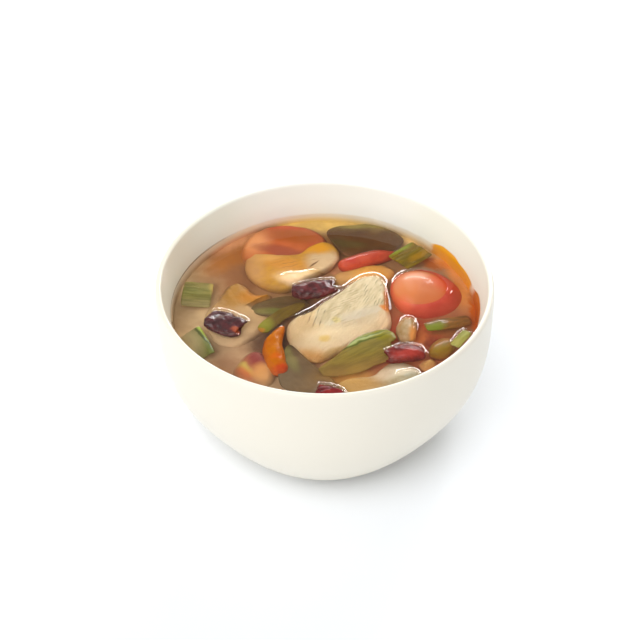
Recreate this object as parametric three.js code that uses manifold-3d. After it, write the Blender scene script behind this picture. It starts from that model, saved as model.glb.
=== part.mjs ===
// Chicken tom yum soup in a thick porcelain bowl. Millimetres, +Z up.
// The origin is the middle of the bowl's underside, and the bowl stands on z = 0.
// The bowl's rim is round. Lower down its wall turns into a rounded square, with
// its corners on the X and Y axes. The broth fills the bowl to SOUP_LEVEL and is cut
// round every piece that breaks its surface, with CLEARANCE between the two.

import * as THREE from 'three';
import { mergeVertices } from 'three/addons/utils/BufferGeometryUtils.js';
import Module from 'manifold-3d';

const wasm = await Module();
wasm.setup();
const { Manifold, Mesh: SolidMesh } = wasm;

// ---------------------------------------------------------------- driving sizes

const BOWL_HEIGHT = 74;
const RIM_RADIUS = 75;          // outside, at the very top
const LIP_ROUND = 1.5;          // radius of the rounded lip
const FLOOR_TOP = 7.5;          // inside floor, at the middle
const SQUARENESS = 0.06;        // how much further a corner reaches than a flat, at the base
const SOUP_LEVEL = 58;
const CLEARANCE = 0.35;         // between the broth and whatever it touches
const STEPS_ROUND = 60;         // facets round the bowl and the broth

// Foot: a flat ring to stand on, round a shallow recess.
const FOOT_OUTER = 44;
const FOOT_INNER = 37;
const FOOT_RECESS = 1.6;

// Outside of the bowl: height as a share of BOWL_HEIGHT, and mean radius.
const OUTER_PROFILE = [
  [0.012, 46.0], [0.04, 50.6], [0.09, 56.2], [0.17, 61.2], [0.26, 65.8],
  [0.36, 69.5], [0.50, 72.7], [0.68, 74.3], [0.90, 74.9],
];

// Inside of the bowl below the lip: height and mean radius, going down.
const INNER_PROFILE = [
  [69.0, 71.0], [64.0, 69.4], [58.0, 68.3], [46.0, 67.0], [34.0, 64.6],
  [24.0, 60.4], [16.0, 53.8], [11.0, 45.5], [8.4, 35.0],
];

// ---------------------------------------------------------------- small helpers

const TURN = 2 * Math.PI;
const { clamp, lerp, smoothstep, degToRad } = THREE.MathUtils;

/** Closed skin over a stack of rings with equal counts, drawn to a pole at each end. */
function ringSolid(firstPole, rings, lastPole) {
  const count = rings[0].length;
  const points = [firstPole, ...rings.flat(), lastPole];
  const at = (ring, step) => 1 + ring * count + (step % count);
  const last = points.length - 1;
  const index = [];
  for (let step = 0; step < count; step++) {
    index.push(0, at(0, step + 1), at(0, step));
    for (let ring = 0; ring + 1 < rings.length; ring++) {
      index.push(at(ring, step), at(ring, step + 1), at(ring + 1, step + 1));
      index.push(at(ring, step), at(ring + 1, step + 1), at(ring + 1, step));
    }
    index.push(last, at(rings.length - 1, step), at(rings.length - 1, step + 1));
  }
  return facingOut(points, index);
}

/** Geometry from points and triangles, turned inside out where its volume is negative. */
function facingOut(points, index) {
  const [a, b, c] = [new THREE.Vector3(), new THREE.Vector3(), new THREE.Vector3()];
  let volume = 0;
  for (let i = 0; i < index.length; i += 3) {
    a.copy(points[index[i]]);
    b.copy(points[index[i + 1]]);
    c.copy(points[index[i + 2]]);
    volume += a.dot(b.cross(c)) / 6;
  }
  const geometry = new THREE.BufferGeometry().setFromPoints(points);
  geometry.setIndex(volume < 0 ? index.reverse() : index);
  geometry.computeVertexNormals();
  return geometry;
}

/** Smooth height or width through (place, value) pairs, level at both ends. */
function through(pairs, place) {
  if (place <= pairs[0][0]) return pairs[0][1];
  for (let i = 1; i < pairs.length; i++) {
    const [x0, y0] = pairs[i - 1];
    const [x1, y1] = pairs[i];
    if (place <= x1) return lerp(y0, y1, smoothstep(place, x0, x1));
  }
  return pairs[pairs.length - 1][1];
}

// ---------------------------------------------------------------- the bowl

/** Share of the mean radius that the wall reaches at an angle and a height. */
function cornerReach(angle, z) {
  const ratio = 1 + SQUARENESS * clamp(1 - z / BOWL_HEIGHT, 0, 1);
  const power = 1 / (0.5 - Math.log2(ratio));
  const across = Math.abs(Math.cos(angle + Math.PI / 4)) ** power;
  const along = Math.abs(Math.sin(angle + Math.PI / 4)) ** power;
  return (across + along) ** (-1 / power) / Math.sqrt(ratio);
}

/** One ring round the bowl's axis, as square as the bowl is at height squareAt. */
function bowlRing(radius, z, squareAt = z) {
  return Array.from({ length: STEPS_ROUND }, (_, step) => {
    const angle = (TURN * step) / STEPS_ROUND;
    const reach = radius * cornerReach(angle, squareAt);
    return new THREE.Vector3(reach * Math.cos(angle), reach * Math.sin(angle), z);
  });
}

function bowlGeometry() {
  const lipMiddle = RIM_RADIUS - LIP_ROUND;
  const lipBase = BOWL_HEIGHT - LIP_ROUND;
  const lip = [0, 45, 90, 135, 180].map((degrees) => {
    const angle = degToRad(degrees);
    return bowlRing(lipMiddle + LIP_ROUND * Math.cos(angle), lipBase + LIP_ROUND * Math.sin(angle));
  });
  const rings = [
    bowlRing(FOOT_INNER - FOOT_RECESS, FOOT_RECESS, 0),
    bowlRing(FOOT_INNER, 0),
    bowlRing(FOOT_OUTER, 0),
    ...OUTER_PROFILE.map(([share, radius]) => bowlRing(radius, share * BOWL_HEIGHT)),
    ...lip,
    ...INNER_PROFILE.map(([z, radius]) => bowlRing(radius, z)),
  ];
  return ringSolid(
    new THREE.Vector3(0, 0, FOOT_RECESS),
    rings,
    new THREE.Vector3(0, 0, FLOOR_TOP),
  );
}

// ---------------------------------------------------------------- kinds of pieces

/**
 * A plump slab with a closed outline: control points round its middle, star-shaped.
 * top and bottom give the height over each point, and the edge rounds from one to the other.
 */
function slabGeometry({ outline, top, bottom, steps = 22, roundness = 0.13 }) {
  const curve = new THREE.CatmullRomCurve3(
    outline.map(([x, y]) => new THREE.Vector3(x, y, 0)), true, 'catmullrom', 0.5,
  );
  const edge = Array.from({ length: steps }, (_, step) => curve.getPoint(step / steps));
  const ring = (inset, share) => edge.map((point) => {
    const x = point.x * (1 - inset);
    const y = point.y * (1 - inset);
    return new THREE.Vector3(x, y, lerp(bottom(x, y), top(x, y), share));
  });
  const rings = [
    ring(0.62, 0), ring(roundness * 1.9, 0), ring(roundness * 0.5, 0.2),
    ring(0, 0.55),
    ring(roundness * 0.3, 0.86), ring(roundness, 1), ring(0.4, 1), ring(0.72, 1),
  ];
  return ringSolid(
    new THREE.Vector3(0, 0, bottom(0, 0)),
    rings,
    new THREE.Vector3(0, 0, top(0, 0)),
  );
}

/** A pod along a curve: round sections whose radius follows (share of length, radius) pairs. */
function podGeometry({ spine, radii, sections = 12, sides = 10 }) {
  const curve = new THREE.CatmullRomCurve3(spine.map((point) => new THREE.Vector3(...point)));
  const up = new THREE.Vector3(0, 0, 1);
  const rings = Array.from({ length: sections }, (_, section) => {
    const share = (section + 0.5) / sections;
    const middle = curve.getPointAt(share);
    const along = curve.getTangentAt(share);
    const side = new THREE.Vector3().crossVectors(up, along).normalize();
    const over = new THREE.Vector3().crossVectors(along, side);
    const radius = through(radii, share);
    return Array.from({ length: sides }, (__, step) => {
      const angle = (TURN * step) / sides;
      return middle.clone()
        .addScaledVector(side, radius * Math.cos(angle))
        .addScaledVector(over, radius * Math.sin(angle));
    });
  });
  return ringSolid(curve.getPointAt(0), rings, curve.getPointAt(1));
}

/**
 * A cut length of dried chili: a flattened, crumpled skin with one end open.
 * It runs along X and is open towards +X, and its creases differ with each seed.
 * With open false the end is shut, as the broth sees it.
 */
function driedChiliGeometry({ length, width, height, seed, taper = 0.6, open = true }) {
  const sides = 12;
  const skin = 1.1;
  const section = (share, inset) => Array.from({ length: sides }, (_, step) => {
    const angle = (TURN * step) / sides;
    const crease = 0.10 * Math.sin(3 * angle + 5 * share + seed)
      + 0.07 * Math.cos(5 * angle - 7 * share + 2 * seed);
    const swell = lerp(taper, 1, Math.sin(Math.PI * clamp(share * 0.75 + 0.12, 0, 1)));
    const side = (width / 2) * swell * (1 + crease) - inset;
    const over = (height / 2) * swell * (1 + 1.6 * crease) - inset;
    const x = (share - 0.5) * length + 0.9 * Math.sin(2 * angle + seed);
    return new THREE.Vector3(x, side * Math.cos(angle), over * Math.sin(angle));
  });
  const outside = [0.03, 0.2, 0.4, 0.6, 0.8, 1].map((share) => section(share, 0));
  const inside = [0.97, 0.8, 0.62].map((share) => section(share, skin));
  return ringSolid(
    new THREE.Vector3(-length / 2, 0, 0),
    open ? [...outside, ...inside] : outside,
    new THREE.Vector3(open ? 0.08 * length : length / 2, 0, 0),
  );
}

/**
 * A thin wavy leaf or cut strip. halfWidths(share) gives how far it reaches to the
 * right and left of its line, and lift(x, y) the height of its middle. Both faces are
 * split into the same triangles.
 */
function leafGeometry({ length, halfWidths, lift, thickness = 1, rows = 9, columns = 4 }) {
  const middle = [];
  for (let row = 0; row <= rows; row++) {
    const [right, left] = halfWidths(row / rows);
    for (let column = 0; column <= columns; column++) {
      const x = (row / rows - 0.5) * length;
      const y = lerp(-right, left, column / columns);
      middle.push(new THREE.Vector3(x, y, lift(x, y)));
    }
  }
  const step = 0.05;
  const face = (side) => middle.map((point) => {
    const slopeX = (lift(point.x + step, point.y) - lift(point.x - step, point.y)) / (2 * step);
    const slopeY = (lift(point.x, point.y + step) - lift(point.x, point.y - step)) / (2 * step);
    const normal = new THREE.Vector3(-slopeX, -slopeY, 1).normalize();
    return point.clone().addScaledVector(normal, (side * thickness) / 2);
  });
  const points = [...face(1), ...face(-1)];
  const under = middle.length;
  const at = (row, column) => row * (columns + 1) + column;
  const index = [];
  for (let row = 0; row < rows; row++) {
    for (let column = 0; column < columns; column++) {
      const [a, b] = [at(row, column), at(row + 1, column)];
      const [c, d] = [at(row + 1, column + 1), at(row, column + 1)];
      index.push(a, b, c, a, c, d);
      index.push(under + a, under + c, under + b, under + a, under + d, under + c);
    }
  }
  const border = [];
  for (let row = 0; row < rows; row++) border.push(at(row, 0));
  for (let column = 0; column < columns; column++) border.push(at(rows, column));
  for (let row = rows; row > 0; row--) border.push(at(row, columns));
  for (let column = columns; column > 0; column--) border.push(at(0, column));
  border.forEach((here, i) => {
    const next = border[(i + 1) % border.length];
    index.push(here, under + here, under + next, here, under + next, next);
  });
  return facingOut(points, index);
}

/**
 * A tomato half lying cut side down: a dome over a flattened base. lean tells how far
 * the dome's top stands to the side of the base's middle.
 */
function tomatoGeometry({ radiusX, radiusY, rise, depth, lean, steps = 24 }) {
  const ring = (degrees, height, shrink = 1) => Array.from({ length: steps }, (_, step) => {
    const angle = (TURN * step) / steps;
    const lobes = 1 + 0.018 * Math.cos(3 * angle + 0.6);
    const reach = Math.cos(degToRad(degrees)) * shrink * lobes;
    const over = Math.max(0, height / rise);
    return new THREE.Vector3(
      lean[0] * over + radiusX * reach * Math.cos(angle),
      lean[1] * over + radiusY * reach * Math.sin(angle),
      height,
    );
  });
  const dome = [0, 18, 35, 50, 64, 78];
  return ringSolid(
    new THREE.Vector3(0, 0, -depth),
    [
      ring(0, -depth, 0.5), ring(0, -depth, 0.93), ring(0, -depth * 0.72, 1),
      ...dome.map((degrees) => ring(degrees, rise * Math.sin(degToRad(degrees)))),
    ],
    new THREE.Vector3(lean[0], lean[1], rise),
  );
}

// ---------------------------------------------------------------- the pieces

// Heights inside a piece are measured from the broth's surface, so each piece stands
// at SOUP_LEVEL and the numbers below tell how far it sinks or breaks the surface.

/** Big slice of breast: its fibrous back breaks the surface, its front slopes down. */
function chickenCenter() {
  const ridge = (x, y) => y + 6.5 - 0.42 * (x + 3);
  return slabGeometry({
    steps: 26,
    outline: [
      [-22, -2], [-15, 1], [-8, 8], [1, 17], [8, 25], [14, 28.3], [19.5, 26.5], [21.6, 19],
      [21, 7], [23.5, -5], [17, -12], [6, -18], [-4, -25], [-12, -29], [-20, -22], [-24.5, -12],
    ],
    top: (x, y) => {
      const ahead = Math.max(0, -ridge(x, y));
      const behind = Math.max(0, ridge(x, y));
      const crest = 1.7 - 0.045 * behind - 1.5 * smoothstep(ahead, 0, 4) - 0.21 * ahead;
      return crest - 0.1 * Math.max(0, -6 - x);
    },
    bottom: (x, y) => -13.5 + 0.006 * (x * x + y * y),
  });
}

/** Slice with a browned top at the back left, in two lobes. */
function chickenBackLeft() {
  return slabGeometry({
    steps: 26,
    outline: [
      [-22, 8], [-19.5, 12], [-8, 10.2], [3.5, 10.6], [6.5, 15], [12, 18.6], [16, 19.6],
      [20.6, 15.5], [22.6, 8], [20.6, 3], [15.5, -2.4], [5, -10.4], [-1, -15.4], [-8, -16],
      [-14, -13], [-19.5, -7.4], [-22.4, 0.4],
    ],
    top: (x, y) => {
      const ridge = 1.9 * smoothstep(y, -11, -6) * (1 - smoothstep(y, -5.5, 0)) * smoothstep(x, -13, -6);
      const lobe = 1.2 * smoothstep(x, 3, 12);
      return -1.5 + ridge + lobe - 1.8 * smoothstep(-x, 10, 22);
    },
    bottom: (x, y) => -12 + 0.008 * (x * x + y * y),
  });
}

/** Slice near the front wall, with two low humps above the surface. */
function chickenFrontRight() {
  const hump = (x, y, middleX, middleY, spread) => Math.exp(
    -((x - middleX) ** 2 + (y - middleY) ** 2) / spread ** 2,
  );
  return slabGeometry({
    steps: 24,
    outline: [
      [-18, -2], [-12, 3], [-3, 3.6], [4, 8.6], [10.5, 10.4], [17, 7.8], [20, 3],
      [17.6, -3], [11, -6.6], [0, -10], [-12, -9.4],
    ],
    top: (x, y) => -2.3 + 3.6 * hump(x, y, 9.5, 1.2, 5.2) + 3.2 * hump(x, y, 17, 3, 3.4),
    bottom: (x, y) => -10 + 0.01 * (x * x + y * y),
  });
}

/** Small rounded nub of chicken that stands end-on beside the tomato. */
function chickenBitRight() {
  return podGeometry({
    spine: [[1.2, 8.0, -2.4], [0.2, 3, -2.6], [-0.6, -3, -2.9], [1.2, -7.6, -4.2]],
    radii: [[0, 1.6], [0.2, 3.6], [0.5, 4.3], [0.8, 3.8], [1, 2]],
    sections: 8,
  });
}

/** Pod lying just under the surface, with its blunt end out of the broth. */
function redChili() {
  return podGeometry({
    spine: [[-13.5, -6.4, -2.6], [-6.5, -2.6, -3.2], [2, 1.6, -3.9], [12.5, 5.6, -5.6]],
    radii: [[0, 2.4], [0.12, 3.5], [0.4, 3.9], [0.7, 3.6], [1, 1.6]],
  });
}

/** Bent orange pod with a fine tip and a plump blunt end. */
function orangeChili() {
  return podGeometry({
    spine: [
      [3.8, 16.4, -0.9], [0.4, 9, -2], [-1.6, 1, -2.9], [-0.4, -7.6, -3.3], [3.2, -13.8, -4.6],
    ],
    radii: [[0, 0.7], [0.14, 2.1], [0.35, 3.7], [0.6, 4.3], [0.86, 4.1], [1, 2.4]],
    sections: 13,
  });
}

/** Blade of spring onion against the left wall, its cut end frayed. */
function scallionLeft() {
  return leafGeometry({
    length: 13.5,
    rows: 6,
    columns: 6,
    halfWidths: () => [8.2, 8.2],
    lift: (x, y) => -0.6 + 0.5 * Math.cos(0.36 * y) - 0.05 * x - 0.012 * y * y,
  });
}

/** Folded blade at the lower left: its crease breaks the surface and one side hangs. */
function scallionLowerLeft() {
  return leafGeometry({
    length: 19,
    rows: 7,
    columns: 5,
    halfWidths: (share) => [9.2 - 3 * share, 1.6],
    lift: (x, y) => 0.4 - 0.42 * Math.abs(y) + 0.25 * Math.sin(0.5 * x),
  });
}

/** Slit and opened blade at the back right, with its ribs running lengthwise. */
function scallionBackRight() {
  return leafGeometry({
    length: 16.5,
    rows: 6,
    columns: 8,
    halfWidths: () => [7, 6.6],
    lift: (x, y) => -0.25 + 0.45 * Math.cos(0.95 * y) - 0.015 * y * y - 0.03 * x,
  });
}

/** Broad leaf in front of the big slice, folded along a line that breaks the surface. */
function greenLeafCenter() {
  return leafGeometry({
    length: 40,
    rows: 12,
    columns: 6,
    halfWidths: (share) => {
      const belly = Math.sin(Math.PI * clamp(0.06 + 0.9 * share, 0, 1)) ** 0.7;
      return [9.6 * belly * (1 - 0.7 * smoothstep(share, 0.55, 0.84)), 4.8 * belly];
    },
    lift: (x, y) => 0.35 - 0.5 * smoothstep(Math.abs(y - 0.6), 0, 3.5)
      - 0.34 * Math.max(0, -y - 1.5) - 0.085 * Math.max(0, 2 - x) + 0.2 * Math.sin(0.5 * x),
  });
}

/** Blade at the right: one long sliver of it shows above the broth. */
function scallionRightSliver() {
  return leafGeometry({
    length: 22,
    rows: 8,
    columns: 4,
    halfWidths: (share) => [2.6 + 1.6 * Math.sin(Math.PI * share), 2.6 + 1.4 * share],
    lift: (x, y) => 0.55 - 0.16 * Math.max(0, x + 2) - 0.07 * y * y,
  });
}

/** Thick white-green length of stalk, nearly sunk. */
function scallionLowerRightA() {
  return podGeometry({
    spine: [[-3.4, -6.4, -3.9], [-1, -1, -3.3], [3, 6.4, -3.7]],
    radii: [[0, 3.6], [0.5, 4.1], [1, 3.6]],
    sections: 5,
  });
}

/** Short blade beside the front right wall, tilted up out of the broth. */
function scallionLowerRightB() {
  return leafGeometry({
    length: 11.5,
    rows: 5,
    columns: 3,
    halfWidths: () => [2.3, 2.3],
    lift: (x, y) => 0.4 + 0.05 * x - 0.08 * y * y,
  });
}

// ---------------------------------------------------------------- putting them in

/** Material of one kind of food or ware. */
function finish(color, roughness) {
  return new THREE.MeshStandardMaterial({ color, roughness, metalness: 0 });
}

const FINISH = {
  porcelain: finish('#f4f1e8', 0.22),
  broth: finish('#b3805a', 0.12),
  chicken: finish('#dcc69c', 0.55),
  tomato: finish('#dd5b3f', 0.3),
  redChili: finish('#d8452f', 0.28),
  orangeChili: finish('#e07f1f', 0.26),
  driedChili: finish('#6a1a1c', 0.3),
  scallion: finish('#7d8a34', 0.45),
  leaf: finish('#75742b', 0.5),
};

/** The cut lengths of dried chili, with their sizes and creases. */
const DRIED_CHILIES = [
  {
    name: 'left', length: 17, width: 13.6, height: 4.8, seed: 0.4, taper: 0.72,
    at: [-44.4, -11], turn: -24, sink: 0.1,
  },
  {
    name: 'center', length: 19, width: 11, height: 6, seed: 2.1,
    at: [-5.2, 13.2], turn: 12, sink: 1.2,
  },
  {
    name: 'right', length: 16.5, width: 9.4, height: 6.4, seed: 3.7,
    at: [34.9, -30.4], turn: 188, sink: 1.1,
  },
  {
    name: 'front', length: 10.5, width: 8, height: 5.4, seed: 5.2,
    at: [2, -55.6], turn: -18, sink: 0.9,
  },
];

/** Where each piece's middle lies, its turn about Z in degrees, and what it is made of. */
const PIECES = [
  { name: 'chicken_center', shape: chickenCenter(), at: [7, -5], finish: 'chicken' },
  { name: 'chicken_back_left', shape: chickenBackLeft(), at: [-15, 29.6], finish: 'chicken' },
  { name: 'chicken_front_right', shape: chickenFrontRight(), at: [22.5, -47.2], finish: 'chicken' },
  { name: 'chicken_bit_right', shape: chickenBitRight(), at: [36.4, -14], finish: 'chicken' },
  {
    name: 'tomato_right',
    shape: tomatoGeometry({
      radiusX: 16.5, radiusY: 16.1, rise: 12, depth: 5, lean: [-5.4, 1.3],
    }),
    at: [46.3, 12.8],
    sink: 7.6,
    finish: 'tomato',
  },
  { name: 'red_chili', shape: redChili(), at: [20.3, 36.4], finish: 'redChili' },
  { name: 'orange_chili', shape: orangeChili(), at: [-21.9, -28.2], finish: 'orangeChili' },
  ...DRIED_CHILIES.map(({ name, at, turn, sink, ...size }) => ({
    name: `dried_chili_${name}`,
    shape: driedChiliGeometry(size),
    room: driedChiliGeometry({ ...size, open: false }),
    at,
    turn,
    sink,
    finish: 'driedChili',
  })),
  { name: 'scallion_left', shape: scallionLeft(), at: [-57.6, 10.4], turn: -4, finish: 'scallion' },
  {
    name: 'scallion_lower_left',
    shape: scallionLowerLeft(),
    at: [-52.6, -22.0],
    turn: -66,
    finish: 'scallion',
  },
  {
    name: 'scallion_back_right',
    shape: scallionBackRight(),
    at: [39.4, 37.8],
    turn: 44,
    finish: 'scallion',
  },
  {
    name: 'green_leaf_center',
    shape: greenLeafCenter(),
    at: [14.6, -30.2],
    turn: 33,
    finish: 'leaf',
  },
  {
    name: 'scallion_right_sliver',
    shape: scallionRightSliver(),
    at: [54.6, -9.6],
    turn: 20,
    finish: 'scallion',
  },
  {
    name: 'scallion_lower_right_a',
    shape: scallionLowerRightA(),
    at: [51.0, -25.4],
    finish: 'scallion',
  },
  {
    name: 'scallion_lower_right_b',
    shape: scallionLowerRightB(),
    at: [59.7, -21.1],
    turn: 56,
    finish: 'scallion',
  },
];

/** Solid of a mesh in the soup's frame, grown outwards by clearance on every face. */
function grownSolid(mesh, clearance) {
  mesh.updateMatrixWorld(true);
  const bare = mesh.geometry.clone().applyMatrix4(mesh.matrixWorld);
  for (const name of Object.keys(bare.attributes)) {
    if (name !== 'position') bare.deleteAttribute(name);
  }
  const merged = mergeVertices(bare, 1e-4);
  const place = merged.attributes.position;
  const index = merged.index.array;
  const around = Array.from({ length: place.count }, () => []);
  const corner = [0, 1, 2].map(() => new THREE.Vector3());
  const triangle = new THREE.Triangle();
  for (let i = 0; i < index.length; i += 3) {
    corner.forEach((point, k) => point.fromBufferAttribute(place, index[i + k]));
    const normal = triangle.set(...corner).getNormal(new THREE.Vector3());
    corner.forEach((_, k) => around[index[i + k]].push(normal));
  }
  const vertProperties = new Float32Array(place.count * 3);
  around.forEach((normals, vertex) => {
    const mean = normals.reduce((sum, normal) => sum.add(normal), new THREE.Vector3()).normalize();
    const least = Math.min(...normals.map((normal) => normal.dot(mean)));
    const point = new THREE.Vector3().fromBufferAttribute(place, vertex);
    point.addScaledVector(mean, clearance / clamp(least, 0.35, 1));
    point.toArray(vertProperties, 3 * vertex);
  });
  const triVerts = Uint32Array.from(index);
  return new Manifold(new SolidMesh({ numProp: 3, vertProperties, triVerts }));
}

/** Geometry of a manifold solid. */
function fromSolid(solid) {
  const { vertProperties, triVerts } = solid.getMesh();
  const geometry = new THREE.BufferGeometry();
  geometry.setAttribute('position', new THREE.BufferAttribute(vertProperties, 3));
  geometry.setIndex(new THREE.BufferAttribute(triVerts, 1));
  geometry.computeVertexNormals();
  return geometry;
}

/** The broth: what the bowl holds up to SOUP_LEVEL, less the room that the pieces take. */
function brothGeometry(rooms) {
  const below = INNER_PROFILE.filter(([z]) => z < SOUP_LEVEL).reverse();
  const [, radiusAtLevel] = INNER_PROFILE.find(([z]) => z === SOUP_LEVEL);
  const rings = [
    ...below.map(([z, radius]) => bowlRing(radius - CLEARANCE, z + CLEARANCE, z)),
    bowlRing(radiusAtLevel - CLEARANCE, SOUP_LEVEL),
  ];
  const whole = ringSolid(
    new THREE.Vector3(0, 0, FLOOR_TOP + CLEARANCE),
    rings,
    new THREE.Vector3(0, 0, SOUP_LEVEL),
  );
  const solid = rooms.reduce(
    (left, room) => left.subtract(grownSolid(room, CLEARANCE)),
    grownSolid(new THREE.Mesh(whole), 0),
  );
  return fromSolid(solid);
}

/** Mesh of a piece, or of the room it takes, where the piece lies in the broth. */
function laid(shape, { name, at: [x, y], turn = 0, sink = 0, finish: kind }) {
  const mesh = new THREE.Mesh(shape, FINISH[kind].clone());
  mesh.name = name;
  mesh.position.set(x, y, SOUP_LEVEL - sink);
  mesh.rotation.z = degToRad(turn);
  return mesh;
}

const pieces = PIECES.map((piece) => laid(piece.shape, piece));
const rooms = PIECES.map((piece) => laid(piece.room ?? piece.shape, piece));

const bowl = new THREE.Mesh(bowlGeometry(), FINISH.porcelain);
bowl.name = 'bowl';

const broth = new THREE.Mesh(brothGeometry(rooms), FINISH.broth);
broth.name = 'broth';

const group = new THREE.Group();
group.add(bowl, broth, ...pieces);

export default group;
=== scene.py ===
import math
from contextlib import contextmanager

import bpy
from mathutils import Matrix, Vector


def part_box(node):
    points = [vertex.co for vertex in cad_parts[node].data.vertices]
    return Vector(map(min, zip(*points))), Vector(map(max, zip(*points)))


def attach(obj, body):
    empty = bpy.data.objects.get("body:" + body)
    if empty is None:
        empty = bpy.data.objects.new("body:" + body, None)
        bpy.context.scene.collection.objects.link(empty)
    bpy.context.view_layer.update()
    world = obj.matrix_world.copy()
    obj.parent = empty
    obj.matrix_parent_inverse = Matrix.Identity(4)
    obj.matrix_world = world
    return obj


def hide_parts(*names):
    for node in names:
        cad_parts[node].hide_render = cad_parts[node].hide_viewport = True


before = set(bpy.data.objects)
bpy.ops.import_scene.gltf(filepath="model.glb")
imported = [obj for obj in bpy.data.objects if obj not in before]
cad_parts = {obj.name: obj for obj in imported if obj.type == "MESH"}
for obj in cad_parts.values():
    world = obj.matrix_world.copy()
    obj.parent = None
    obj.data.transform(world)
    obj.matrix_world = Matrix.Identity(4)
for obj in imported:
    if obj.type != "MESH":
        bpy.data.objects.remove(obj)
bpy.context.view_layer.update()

bl_info = {
    "name": "Chicken tom yum soup in its bowl",
    "version": (1, 0, 0),
    "blender": (4, 5, 0),
    "location": "View3D > Sidebar > Soup",
    "description": "Builds the bowl, the broth and every piece of food around the CAD model",
    "category": "Object",
}

# Tables and the helpers' arguments are in millimetres and degrees, unless they say otherwise;
# properties and Blender's own calls are in metres and radians.
MM = 0.001
SOUP_LEVEL = round(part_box("broth")[1].z / MM, 2)
RIM_HEIGHT = round(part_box("bowl")[1].z / MM, 2)
MURK_DEPTH = 7.0  # below the broth's surface, where nothing can be made out any more


# ----- properties and colours

def linear(code):
    """Linear RGBA of an sRGB hex colour."""
    srgb = [int(code[i:i + 2], 16) / 255 for i in (1, 3, 5)]
    return (*(c / 12.92 if c <= 0.04045 else ((c + 0.055) / 1.055) ** 2.4 for c in srgb), 1.0)


def size(name, text, value):
    """A length property."""
    return bpy.props.FloatProperty(
        name=name, description=text, default=value * MM, unit="LENGTH", precision=4)


def tint(name, text, code):
    """A colour property."""
    return bpy.props.FloatVectorProperty(
        name=name, description=text, default=linear(code), subtype="COLOR", size=4, min=0, max=1)


def number(name, text, value, **more):
    """A plain number property."""
    return bpy.props.FloatProperty(name=name, description=text, default=value, **more)


# ----- shaping

def only(obj):
    """Makes obj the one selected and active object."""
    bpy.ops.object.select_all(action="DESELECT")
    obj.select_set(True)
    bpy.context.view_layer.objects.active = obj


@contextmanager
def editing(obj, mode="VERT"):
    """Edit mode on obj with everything selected."""
    only(obj)
    bpy.ops.object.mode_set(mode="EDIT")
    bpy.ops.mesh.select_mode(type=mode)
    bpy.ops.mesh.select_all(action="SELECT")
    yield
    bpy.ops.object.mode_set(mode="OBJECT")


@contextmanager
def editing_where(obj, test):
    """Edit mode on obj with only those vertices selected that pass the test."""
    with editing(obj):
        bpy.ops.mesh.select_all(action="DESELECT")
    for vertex in obj.data.vertices:
        vertex.select = test(vertex)
    bpy.ops.object.mode_set(mode="EDIT")
    yield
    bpy.ops.object.mode_set(mode="OBJECT")


def new_object(name, data):
    """An object of that data, put into the scene."""
    obj = bpy.data.objects.new(name, data)
    bpy.context.scene.collection.objects.link(obj)
    return obj


def modify(obj, kind, **settings):
    """Adds a modifier and applies it."""
    only(obj)
    made = obj.modifiers.new(kind, kind)
    for key, value in settings.items():
        setattr(made, key, value)
    bpy.ops.object.modifier_apply(modifier=made.name)


def crumple(obj, grain, height, kind="CLOUDS", direction="NORMAL", along=None, **settings):
    """Pushes the surface in and out by a procedural texture of that grain and height.
    along = (angle, stretch) lengthens the relief in that direction."""
    texture = bpy.data.textures.new(obj.name + "_relief", kind)
    texture.noise_scale = grain * MM
    for key, value in settings.items():
        setattr(texture, key, value)
    more = {}
    if along:
        bpy.ops.object.empty_add(rotation=(0, 0, math.radians(along[0])))
        guide = bpy.context.object
        guide.scale = (along[1], 1, 1)
        bpy.context.view_layer.update()
        more = {"texture_coords": "OBJECT", "texture_coords_object": guide}
    modify(obj, "DISPLACE", texture=texture, strength=height * MM, mid_level=0.5,
           direction=direction, **more)
    if along:
        bpy.data.objects.remove(guide)


def copy_of(node_name, name, levels, swell=0.0):
    """A merged, rounded copy of a CAD node, swollen a little, mostly in four-sided faces."""
    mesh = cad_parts[node_name].data.copy()
    mesh.materials.clear()
    obj = new_object(name, mesh)
    only(obj)
    bpy.ops.mesh.customdata_custom_splitnormals_clear()
    with editing(obj):
        bpy.ops.mesh.remove_doubles(threshold=0.01 * MM)
        bpy.ops.mesh.tris_convert_to_quads(
            face_threshold=math.radians(60), shape_threshold=math.radians(60))
        bpy.ops.mesh.normals_make_consistent(inside=False)
    modify(obj, "SUBSURF", levels=levels, render_levels=levels)
    if swell:
        modify(obj, "DISPLACE", strength=swell * MM, mid_level=0.0)
    return obj


def stand_out(obj, height, tilt=0.0, hinge=0.0):
    """Scales what is above the broth's surface in height, and tilts it up towards the back
    round a line at y = hinge."""
    level = SOUP_LEVEL * MM
    with editing_where(obj, lambda vertex: vertex.co.z > level):
        bpy.ops.transform.resize(value=(1, 1, height), center_override=(0, 0, level))
        bpy.ops.transform.rotate(
            value=-math.radians(tilt), orient_axis="X", center_override=(0, hinge * MM, level))


def sink(obj, x, y, angle, slope):
    """Lowers obj on one side of a line through (x, y), by slope per mm from the line."""
    side = Vector((-math.sin(math.radians(angle)), math.cos(math.radians(angle)), 0))
    for vertex in obj.data.vertices:
        beyond = (vertex.co - Vector((x, y, 0)) * MM).dot(side)
        vertex.co.z -= slope * max(0.0, beyond)


def pull(obj, x, y, across, along, turn, move):
    """Moves part of obj: fully at (x, y), not at all beyond the ellipse round it."""
    angle = math.radians(turn)
    for vertex in obj.data.vertices:
        dx, dy = vertex.co.x / MM - x, vertex.co.y / MM - y
        u = (dx * math.cos(angle) + dy * math.sin(angle)) / across
        v = (dy * math.cos(angle) - dx * math.sin(angle)) / along
        vertex.co += Vector(move) * MM * max(0.0, 1 - u * u - v * v) ** 1.5


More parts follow.
